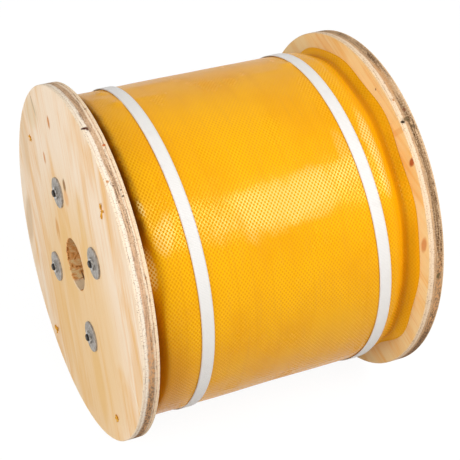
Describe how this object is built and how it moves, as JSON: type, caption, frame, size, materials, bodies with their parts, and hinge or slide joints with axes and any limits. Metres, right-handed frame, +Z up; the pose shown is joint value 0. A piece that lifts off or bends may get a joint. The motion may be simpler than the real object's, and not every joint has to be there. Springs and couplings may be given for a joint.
{
  "type": "wire spool",
  "caption": "Wire spool: round plywood flanges drawn onto a fibre barrel by tie rods, its wound wire covered by a yellow woven wrap held by white straps.",
  "frame": {"origin": "on the floor below the middle of the spool, which stands on its two rims", "axes": "+X along the spool's axis towards the right flange, +Z up"},
  "size_m": [0.367, 0.406, 0.4059],
  "materials": {
    "plywood": "raw plywood, sawn edge",
    "fibre_board": "spiral-wound fibre tube",
    "rod_steel": "plain threaded rod, blackened",
    "washer_zinc": "dull zinc plate",
    "nut_zinc": "bright zinc plate",
    "wire_insulation": "insulated wire, wound in layers",
    "wrap_weave": "coated woven tape cloth",
    "strap_webbing": "woven strapping with fine cross ribs",
    "buckle_wire": "galvanised wire",
    "brad_steel": "plain steel"
  },
  "bodies": {
    "root": {"left_flange": "plywood", "right_flange": "plywood", "barrel": "fibre_board", "tie_rod_1": "rod_steel", "tie_rod_2": "rod_steel", "tie_rod_3": "rod_steel", "tie_rod_4": "rod_steel", "left_washer_1": "washer_zinc", "left_washer_2": "washer_zinc", "left_washer_3": "washer_zinc", "left_washer_4": "washer_zinc", "right_washer_1": "washer_zinc", "right_washer_2": "washer_zinc", "right_washer_3": "washer_zinc", "right_washer_4": "washer_zinc", "left_nut_1": "nut_zinc", "left_nut_2": "nut_zinc", "left_nut_3": "nut_zinc", "left_nut_4": "nut_zinc", "right_nut_1": "nut_zinc", "right_nut_2": "nut_zinc", "right_nut_3": "nut_zinc", "right_nut_4": "nut_zinc", "wire_pack": "wire_insulation", "wrap": "wrap_weave", "left_strap": "strap_webbing", "right_strap": "strap_webbing", "left_buckle": "buckle_wire", "right_buckle": "buckle_wire", "left_brads": "brad_steel", "right_brads": "brad_steel"}
  },
  "joints": []
}
